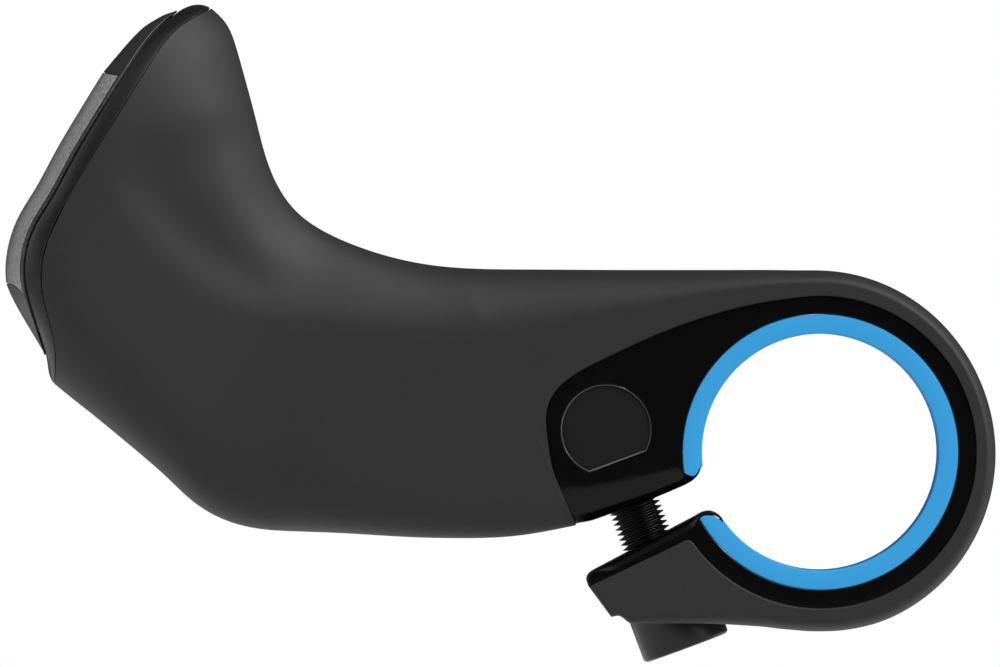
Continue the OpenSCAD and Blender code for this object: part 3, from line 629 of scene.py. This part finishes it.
def build_grip():
    rows = np.array(ROWS, float)
    ang = np.radians(np.arange(87, -104, -5.0))
    rad = mono(-np.array(RING_A), RING_RAD, -np.degrees(ang))
    ring = np.stack([RING_C[0] + rad * np.cos(ang), RING_C[1] + rad * np.sin(ang)], 1)
    head_t = [r[:2] for r in HEAD] + NECK_T + [[-17, 17.1], [-12, 17.1], [-8, 17.1], [-4.5, 17.1], [-2, 17.07]]
    low_t = [[-4.5, -16.51], [-6.6, -16.32], [-8.5, -16.2], [-11, -16.12], [-14, -16.1], [-16.5, -16.1], [-17.5, -16.1]]
    t_curve = join(through(np.array(head_t + [list(p) for p in ring] + low_t)),
                   through([[-17.5, -16.1], [-17.85, -16.05], [-18.3, -15.75], [-18.7, -15.45], [-19.0, -15.36],
                            [-19.35, -15.42], [-19.62, -15.48]], 0.05))
    b_curve = join(through([r[2:4] for r in HEAD] + NECK_B + [list(K)]), side_curve, ring_curve, corner_curve, lug_curve)
    T, B = Path(t_curve), Path(b_curve)
    sT, sB, pt, pb = [], [], -1, -1
    for i, r in enumerate(rows):
        pt = T.near(r[:2], pt + 0.02)
        pb = B.near(r[2:4], pb + 0.02)
        sT.append(pt)
        sB.append(pb)
    sT[-1], sB[-1] = T.s[-1], B.s[-1]
    sK = B.near(K)
    tt = np.concatenate([[0], np.cumsum(0.5 * (np.diff(sT) + np.diff(sB)))])
    fine = [0.0]
    for i in range(len(tt) - 1):
        step = 0.45 if i < 12 else 0.3
        if 12 <= i <= 17 or i >= len(tt) - 8:
            step = 0.16
        n = max(int(math.ceil((tt[i + 1] - tt[i]) / step)), 3)
        fine += list(tt[i] + (tt[i + 1] - tt[i]) * np.arange(1, n + 1) / n)
    fine = np.array(fine)
    S_T, S_B = mono(tt, sT, fine), mono(tt, sB, fine)
    P_T, P_B = T.at(S_T), B.at(S_B)
    # the head's paths come from the same smooth curve as its widths
    par = np.stack([mono(tt, rows[:, k], fine) for k in range(4, 15)], 1)
    par[fine <= tt[18], 0] = ncs(tt[:19], rows[:19, 4], fine[fine <= tt[18]])
    par[fine > tt[18], 0] = 7.8
    n_t, n_o, n_s, n_i, n_b = 5, 18, 12, 14, 4
    loops = []
    c13, s13 = math.cos(math.radians(13)), math.sin(math.radians(13))
    for i in range(len(fine)):
        t2, b2 = P_T[i], P_B[i]
        H, aow, aoy, po, qo, aiw, aiy, pi_, qi, bw, rs = par[i]
        L2 = np.linalg.norm(t2 - b2)
        L = L2 / 2
        aow, aiw = min(aow, L), min(aiw, L)
        aoy, aiy = min(aoy, H), min(aiy, H)
        past = S_B[i] > sK + 1e-6
        w, y = [], []
        for k in range(n_t):
            w.append(L2)
            y.append((H - aoy) * k / n_t)
        for k in range(n_o):
            a = math.pi / 2 * k / n_o
            w.append(L2 - aow + aow * math.cos(a) ** (2 / po))
            y.append(H - aoy + aoy * math.sin(a) ** (2 / qo))
        for k in range(n_s):
            u = k / n_s
            w.append((L2 - aow) * (1 - u) + aiw * u)
            y.append(H)
        y_end = None
        for k in range(n_i + 1):
            a = math.pi / 2 * (1 - k / n_i)
            wk = aiw - aiw * math.cos(a) ** (2 / pi_)
            w.append(wk)
            y.append(H if past else H - aiy + aiy * math.sin(a) ** (2 / qi))
        w, y = np.array(w), np.array(y)
        pos = b2[None, :] + (t2 - b2)[None, :] * (w / L2)[:, None]
        if bw > 1e-4:
            pos = pos + bow(np.clip(w / L - 1, -1, 1)) * bw
        if pos[0, 0] < -30:
            y = y - shoulder(pos) * step01(y / 7.0)
        if past:
            d = (pos[:, 1] - K[1]) * c13 - (pos[:, 0] - K[0]) * s13
            near = (S_B[i] < sK + 16) & (pos[:, 0] < -20) & (d < 3.8)
            q = np.clip(1 - np.clip(d, 0, 3.8) / 3.8, 0, 1)
            y = np.where(near, np.minimum(y, H - 2.5 + 2.5 * np.sqrt(np.maximum(1 - q * q, 0))), y)
        if rs > 1e-4:
            e = np.clip(w, 0, rs)
            y = np.where(w < rs, y - (rs - np.sqrt(np.maximum(rs * rs - (rs - e) ** 2, 0))), y)
        # rounded free end of the lug
        e = (tt[-1] - fine[i])
        if e < 0.35:
            y = np.maximum(y - (0.35 - math.sqrt(max(0.35 ** 2 - (0.35 - e) ** 2, 0))), 0.0)
        y_end = y[-1]
        for k in range(1, n_b + 1):
            pos = np.concatenate([pos, pos[-1:]])
            y = np.append(y, y_end * (1 - k / n_b))
        side = np.stack([pos[:, 0], -y, pos[:, 1]], 1)
        other = np.stack([pos[:, 0], y, pos[:, 1]], 1)
        loops.append(np.concatenate([side, other[-2:0:-1]]))
    n = len(loops[0])
    faces = grid_faces(len(loops), n, True)
    for first in (0, (len(loops) - 1) * n):
        h = n // 2
        for k in range(h):
            if k == 0:
                faces.append([first, first + 1, first + n - 1])
            elif k == h - 1:
                faces.append([first + k, first + k + 1, first + k + 2])
            else:
                faces.append([first + k, first + k + 1, first + n - k - 1, first + n - k])
    ob = obj_from("grip_cover", np.concatenate(loops), faces, None)
    cut(ob, revolve("cut_c", [(0.001, 15.8), (4.65, 15.8), (4.65, 27.8), (0.001, 27.8)], 96))
    shade(ob, 40)
    return done(ob, SOFT, "grip", "bar_end")


# ---- liner, nut, screw, washer ---------------------------------------------------

def build_liner():
    top = through([[-11.02, -1.2], [-11.14, -1.42], [-11.43, -1.9], [-11.92, -2.34], [-12.6, -2.80]], 0.08)
    low = through([[-11.33, -6.22], [-11.07, -6.02], [-10.5, -5.92], [-9.95, -6.03], [-9.45, -6.33],
                   [-9.0, -6.48]], 0.08)
    inner = arc((0, 0), BAR_R, -180 + 35.9, 180 + 6.1, 0.25)
    outer = arc((0, 0), 12.93, 180 + 12.5, -180 + 28.8, 0.25)
    p = join(top, outer, low, inner)
    ob = prism("liner", p, HALF_W, 0.14, None, 5)
    weighted(ob)
    return done(ob, BLUE, "clamp_liner", "bar_end")


def build_nut():
    n = (math.sin(TILT), -math.cos(TILT))
    base = math.degrees(math.atan2(n[1], n[0]))
    r, flat = 4.15, 3.17
    half = math.degrees(math.acos(flat / r))
    p = arc(NUT, r, base + half + 2.5, base + 360 - half - 2.5, 0.2)
    ob = prism("nut", p, 7.1, 0.08, None, 5, sharp=40)
    cut(ob, revolve("cut_d", [(0.001, -12), (2.5, -12), (2.5, 12), (0.001, 12)], 64))
    shade(ob, 40)
    weighted(ob)
    done(ob, NUTM, "barrel_nut", "bar_end")
    # the nut's ends are turned down a little, and its full diameter fills the pocket; this middle piece is a light grey
    # painted highlight, seen as a thin bright ring round the nut's dark end
    r, flat = 4.24, 3.26
    half = math.degrees(math.acos(flat / r))
    p = arc(NUT, r, base + half + 1.6, base + 360 - half - 1.6, 0.2)
    ob = prism("nut_middle", p, 7.04, 0.03, None, 3, sharp=40)
    cut(ob, revolve("cut_e", [(0.001, -12), (2.5, -12), (2.5, 12), (0.001, 12)], 64))
    shade(ob, 40)
    weighted(ob)
    return done(ob, NUT_HIGHLIGHT, "barrel_nut", "bar_end")


def build_screw():
    head_at, head_h, length, pitch = 16.7, 5.2, 20.0, 0.5
    crest, root = 2.45, 1.9
    z0, z1 = head_at - length, head_at - 0.02
    n, k = 72, 12
    prof = []
    for i in range(k):
        ph = i / k
        if ph < 0.14:
            r = crest
        elif ph < 0.5:
            r = crest + (root - crest) * (ph - 0.14) / 0.36
        elif ph < 0.64:
            r = root
        else:
            r = root + (crest - root) * (ph - 0.64) / 0.36
        prof.append(r)
    prof = np.array(prof)
    turns = (z1 - z0) / pitch + 1.2
    m = int(turns * k)
    th = np.linspace(0, 2 * math.pi, n, endpoint=False)
    verts, ok = [], []
    for i in range(m + k):
        z = z0 - pitch + pitch * (i / k + th / (2 * math.pi))
        r = np.full(n, prof[i % k])
        r = np.minimum(r, root - 0.1 + (z - z0) * 1.1)
        r = np.where(z > z1 - 0.45, np.minimum(r, root + np.clip((z1 - z) / 0.45, 0, 1) * 0.6), r)
        zc = np.clip(z, z0, z1)
        r = np.maximum(r, root - 0.1)
        verts += [(r[j] * math.cos(th[j]), r[j] * math.sin(th[j]), zc[j]) for j in range(n)]
    faces = []
    for i in range(m + k - 1):
        for j in range(n):
            a, b = i * n + j, i * n + j + 1
            if j == n - 1:
                if i + k + 1 >= m + k:
                    continue
                # the next turn starts one pitch up
                q = [a, (i + k) * n, (i + k + 1) * n, a + n]
            else:
                q = [a, b, b + n, a + n]
            z = [verts[c][2] for c in q]
            if max(z) - min(z) > 1e-6:
                faces.append(q)
    verts = np.array(verts)
    # tip
    first = len(verts)
    ring = np.stack([(root - 0.1) * np.cos(th), (root - 0.1) * np.sin(th), np.full(n, z0)], 1)
    verts = np.concatenate([verts, ring, [[0, 0, z0]]])
    faces += [[first + j, first + (j + 1) % n, first + n] for j in range(n)]
    # head: rounded outer edges and a hexagon socket
    hr, N = 4.2, 96
    top = head_at + head_h
    prof2 = [(2.2, head_at), (3.9, head_at), (4.14, head_at + 0.06), (hr, head_at + 0.2)]
    prof2 += [(hr, top - 0.34), (hr - 0.05, top - 0.2), (hr - 0.17, top - 0.08), (hr - 0.34, top - 0.01),
              (hr - 0.5, top)]
    a = np.linspace(0, 2 * math.pi, N, endpoint=False)

    def hexr(af, aa):
        q = (aa + math.pi / 6) % (math.pi / 3) - math.pi / 6
        return af / 2 / np.cos(q)

    base = len(verts)
    rows = [np.stack([r * np.cos(a), r * np.sin(a), np.full(N, z)], 1) for r, z in prof2]
    for af, z in ((4.5, top), (4.08, top - 0.18), (4.02, top - 0.3), (4.02, top - 2.6)):
        rr = hexr(af, a)
        rows.append(np.stack([rr * np.cos(a), rr * np.sin(a), np.full(N, z)], 1))
    rows.append(np.stack([0.02 * np.cos(a), 0.02 * np.sin(a), np.full(N, top - 3.3)], 1))
    verts = np.concatenate([verts] + rows)
    faces += grid_faces(len(rows), N, True, base)
    ob = obj_from("screw", screw_place(verts), faces, 32)
    return done(ob, SCREW, "clamp_screw", "screw")


def build_washer():
    z0, z1, r0, r1, c = 15.8, 16.68, 2.65, 4.4, 0.1
    prof = [(r0, z0 + c), (r0 + c, z0), (r1 - c, z0), (r1, z0 + c), (r1, z1 - c), (r1 - c, z1), (r0 + c, z1),
            (r0, z1 - c), (r0, z0 + c)]
    ob = revolve("washer", prof, 96)
    return done(ob, STEEL, "screw_washer", "washer")


# ---- cap and inlay -----------------------------------------------------------------

CROWN, WALL, GAP = 1.85, 0.35, 0.12
LOW_F, LOW_SIDE = 0.235, 0.185


def lerp(a, b, t):
    return a + (b - a) * t


def crest(f):
    f = np.asarray(f, float)
    return np.interp(f, [0, LOW_F, 0.775, 0.91, 0.965, 1], [0.1, CROWN, CROWN, 1.1, 0.6, 0.1])


def brow(f):
    return np.interp(np.asarray(f, float), [0, LOW_SIDE, 0.79, 1], [0.08, WALL, WALL, 0.08])


def dome(f, u):
    k = 1 - u * u
    first = lerp(WALL, CROWN, k)
    c = np.where(f < 0.5, 0.1 + (CROWN - 0.1) * f / LOW_F, crest(f))
    return np.minimum(first, lerp(brow(f), c, k))


def inlay_f(u, k):
    a = u * u
    return lerp(lerp(LOW_F, LOW_SIDE, a * a), lerp(0.775, 0.788, a), k)


def cap_point(f, u, h, inset=0.3):
    df = (inset - 0.3) / 37.5
    g = np.clip(df + f * (1 - 2 * df), 0, 1)
    m = along(RIM, g) + rim_normal(g) * h[:, None]
    y = (12 * 0.965 * face_w(2 * f - 1) - inset) * u
    return np.stack([m[:, 0], y, m[:, 1]], 1)


SHARE = 0.94


def build_cap():
    gap_u = 0.0065
    us = np.concatenate([[-1, -0.993, -0.975], [-SHARE - gap_u, -SHARE - gap_u * 0.7],
                         np.linspace(-SHARE + 0.004, SHARE - 0.004, 61),
                         [SHARE + gap_u * 0.7, SHARE + gap_u], [0.975, 0.993, 1]])
    inner = (np.abs(us) < SHARE + gap_u * 0.8)
    lo_k = (1 - np.cos(np.linspace(0, math.pi / 2, 40))) / 1.0
    lo_k = np.linspace(0, 1, 46) ** 1.6
    rows_f, rows_in = [], []
    for k in lo_k[:-1]:
        rows_f.append(("low", k))
    g = 0.0022
    for k in (-g, -g * 0.7):
        rows_f.append(("mid", k))
    for k in np.linspace(0.001, 0.999, 70):
        rows_f.append(("mid", k))
    for k in (1 + g * 0.7, 1 + g):
        rows_f.append(("mid", k))
    for k in (1 - lo_k)[::-1][1:]:
        rows_f.append(("high", k))
    verts = []
    for kind, k in rows_f:
        f0, f1 = inlay_f(us, np.full(len(us), -g)), inlay_f(us, np.full(len(us), 1 + g))
        if kind == "low":
            f = lerp(0.006, f0, k)
        elif kind == "high":
            f = lerp(f1, 0.994, k)
        else:
            f = inlay_f(us, np.full(len(us), k))
        h = np.maximum(dome(f, us), GAP + 0.12)
        edge = np.abs(us)
        h = np.where(edge > 0.999, np.minimum(h, GAP + 0.16), np.where(edge > 0.99, h - 0.03, h))
        if kind == "mid" and -g * 0.8 < k < 1 + g * 0.8:
            h = np.where(inner, np.maximum(h - 0.32, GAP + 0.08), h)
        verts.append(cap_point(f, us, h))
    m, n = len(rows_f), len(us)
    top = np.concatenate(verts)
    # wall and a recessed foot all round, then the underside
    ring = [(0, j) for j in range(n)] + [(i, n - 1) for i in range(1, m)] + \
           [(m - 1, j) for j in range(n - 2, -1, -1)] + [(i, 0) for i in range(m - 2, 0, -1)]
    F = {}
    faces = grid_faces(m, n)
    pts = [top]
    at = len(top)
    idx = np.array([i * n + j for i, j in ring])
    prev = idx
    fs, uu = [], []
    for i, j in ring:
        kind, k = rows_f[i]
        f0, f1 = inlay_f(us[j], -g), inlay_f(us[j], 1 + g)
        fs.append(lerp(0.006, f0, k) if kind == "low" else lerp(f1, 0.994, k) if kind == "high"
                  else inlay_f(us[j], k))
        uu.append(us[j])
    fs, uu = np.array(fs), np.array(uu)
    for inset, h in ((0.3, GAP + 0.05), (0.36, GAP), (1.0, GAP - 0.02), (1.0, -0.35)):
        new = cap_point(fs, uu, np.full(len(fs), h), inset)
        pts.append(new)
        cur = np.arange(at, at + len(ring))
        for q in range(len(ring)):
            r = (q + 1) % len(ring)
            faces.append([prev[q], prev[r], cur[r], cur[q]])
        prev = cur
        at += len(ring)
    # close the underside with strips from side to side
    right = [prev[n - 1 + i] for i in range(m)]
    left = [prev[0]] + [prev[len(ring) - i] for i in range(1, m)]
    for i in range(m - 1):
        if i == 0:
            faces.append([int(prev[j]) for j in range(n)] + [int(right[1]), int(left[1])])
        elif i == m - 2:
            faces.append([int(left[i])] + [int(right[i])] + [int(prev[n - 1 + m - 1 + q]) for q in range(n)])
        else:
            faces.append([int(left[i]), int(right[i]), int(right[i + 1]), int(left[i + 1])])
    ob = obj_from("end_cap", np.concatenate(pts), [[int(c) for c in f] for f in faces], 30)
    done(ob, CAP, "end_cap", "bar_end")
    return ob


def build_inlay():
    us = np.concatenate([[-1, -0.9955, -0.988], np.linspace(-0.975, 0.975, 61), [0.988, 0.9955, 1]]) * SHARE
    ks = np.concatenate([[0, 0.0018, 0.005], np.linspace(0.012, 0.988, 90), [0.995, 0.9982, 1]])
    m, n = len(ks), len(us)
    top, low = [], []
    for i, k in enumerate(ks):
        f = inlay_f(us, np.full(n, k))
        h = dome(f, us)
        dk = min(i, m - 1 - i)
        for j in range(n):
            dj = min(j, n - 1 - j)
            e = min(dk, dj)
            h[j] -= (0.10, 0.03, 0.0)[e] if e < 3 else 0
        top.append(cap_point(f, us, h))
        low.append(cap_point(f, us, np.maximum(dome(f, us) - 0.30, GAP + 0.09)))
    verts = np.concatenate(top + low)
    faces = grid_faces(m, n) + grid_faces(m, n, off=m * n)
    a = lambda i, j: i * n + j
    b = lambda i, j: m * n + i * n + j
    for j in range(n - 1):
        faces.append([a(0, j), a(0, j + 1), b(0, j + 1), b(0, j)])
        faces.append([a(m - 1, j), a(m - 1, j + 1), b(m - 1, j + 1), b(m - 1, j)])
    for i in range(m - 1):
        faces.append([a(i, 0), a(i + 1, 0), b(i + 1, 0), b(i, 0)])
        faces.append([a(i, n - 1), a(i + 1, n - 1), b(i + 1, n - 1), b(i, n - 1)])
    ob = obj_from("cap_inlay", verts, faces, 50)
    return done(ob, INLAY, "cap_inlay", "bar_end")


build_core()
build_flange()
build_grip()
build_liner()
build_nut()
build_screw()
build_washer()
build_cap()
build_inlay()

# ---- floor, light, camera --------------------------------------------------------

scene = bpy.context.scene
fm = material("floor_pale", (0.66, 0.66, 0.66), 0.9, spec=0.1)
bm = bmesh.new()
vs = [bm.verts.new(p) for p in ((-1.0, -1.0, -0.15), (1.0, -1.0, -0.15), (1.0, 0.9, -0.15), (-1.0, 0.9, -0.15))]
bm.faces.new(vs)
me = bpy.data.meshes.new("floor")
bm.to_mesh(me)
bm.free()
floor = bpy.data.objects.new("floor", me)
scene.collection.objects.link(floor)
me.materials.append(fm)
# seen from below the floor lets the view through
nt = fm.node_tree
geo, mix = nt.nodes.new("ShaderNodeNewGeometry"), nt.nodes.new("ShaderNodeMixShader")
clear = nt.nodes.new("ShaderNodeBsdfTransparent")
nt.links.new(geo.outputs["Backfacing"], mix.inputs["Fac"])
nt.links.new(nt.nodes["Principled BSDF"].outputs["BSDF"], mix.inputs[1])
nt.links.new(clear.outputs["BSDF"], mix.inputs[2])
nt.links.new(mix.outputs["Shader"], nt.nodes["Material Output"].inputs["Surface"])

world = bpy.data.worlds.new("studio")
scene.world = world
world.use_nodes = True
nt = world.node_tree
nt.nodes.clear()
tc = nt.nodes.new("ShaderNodeTexCoord")
sep = nt.nodes.new("ShaderNodeSeparateXYZ")
nt.links.new(tc.outputs["Generated"], sep.inputs[0])


def ramp(source, stops):
    r = nt.nodes.new("ShaderNodeMapRange")
    r.interpolation_type = "SMOOTHSTEP"
    for name, v in zip(("From Min", "From Max", "To Min", "To Max"), stops):
        r.inputs[name].default_value = v
    nt.links.new(source, r.inputs["Value"])
    return r.outputs["Result"]


def calc(op, a, b):
    m = nt.nodes.new("ShaderNodeMath")
    m.operation = op
    for k, v in enumerate((a, b)):
        if isinstance(v, (int, float)):
            m.inputs[k].default_value = v
        else:
            nt.links.new(v, m.inputs[k])
    return m.outputs[0]


def lobe(toward, wide, tight, strength):
    """A soft patch of light round a direction."""
    k = np.array(toward, float) / np.linalg.norm(toward)
    v = nt.nodes.new("ShaderNodeVectorMath")
    v.operation = "DOT_PRODUCT"
    v.inputs[1].default_value = tuple(k)
    nt.links.new(tc.outputs["Generated"], v.inputs[0])
    return ramp(v.outputs["Value"], (wide, tight, 0.0, strength))


X, Y, Z = sep.outputs["X"], sep.outputs["Y"], sep.outputs["Z"]
front = ramp(Y, (-0.95, -0.6, 0.03, 0.28))
back = ramp(Y, (0.0, 0.6, 1.0, 0.14))
up = ramp(Z, (-0.95, 0.15, 0.12, 1.0))
level = calc("MULTIPLY", calc("MULTIPLY", front, back), up)
level = calc("ADD", level, lobe((0.58, -0.38, 0.72), 0.62, 0.98, 3.5))
level = calc("ADD", level, lobe((-0.95, -0.22, 0.12), 0.66, 1.0, 1.55))
level = calc("ADD", level, lobe((0.97, 0.12, 0.2), 0.75, 1.0, 0.8))
bg = nt.nodes.new("ShaderNodeBackground")
nt.links.new(level, bg.inputs["Strength"])
white = nt.nodes.new("ShaderNodeBackground")
white.inputs["Strength"].default_value = 1.0
bg.inputs["Color"].default_value = (1, 1, 1, 1)
white.inputs["Color"].default_value = (1, 1, 1, 1)
lp, mx = nt.nodes.new("ShaderNodeLightPath"), nt.nodes.new("ShaderNodeMixShader")
out = nt.nodes.new("ShaderNodeOutputWorld")
nt.links.new(lp.outputs["Is Camera Ray"], mx.inputs["Fac"])
nt.links.new(bg.outputs[0], mx.inputs[1])
nt.links.new(white.outputs[0], mx.inputs[2])
nt.links.new(mx.outputs[0], out.inputs["Surface"])

cam_data = bpy.data.cameras.new("camera")
cam = bpy.data.objects.new("camera", cam_data)
scene.collection.objects.link(cam)
cam_data.sensor_width, cam_data.lens = 36.0, 1000.0
cam_data.clip_start, cam_data.clip_end = 0.1, 60.0
cam.location = (-0.03006, -0.09407 * 1000.0 / 36.0, 0.01113)
cam.rotation_euler = (math.pi / 2, 0, 0)
scene.camera = cam
scene.view_settings.view_transform = "Standard"
scene.view_settings.look = "None"

bpy.context.view_layer.update()
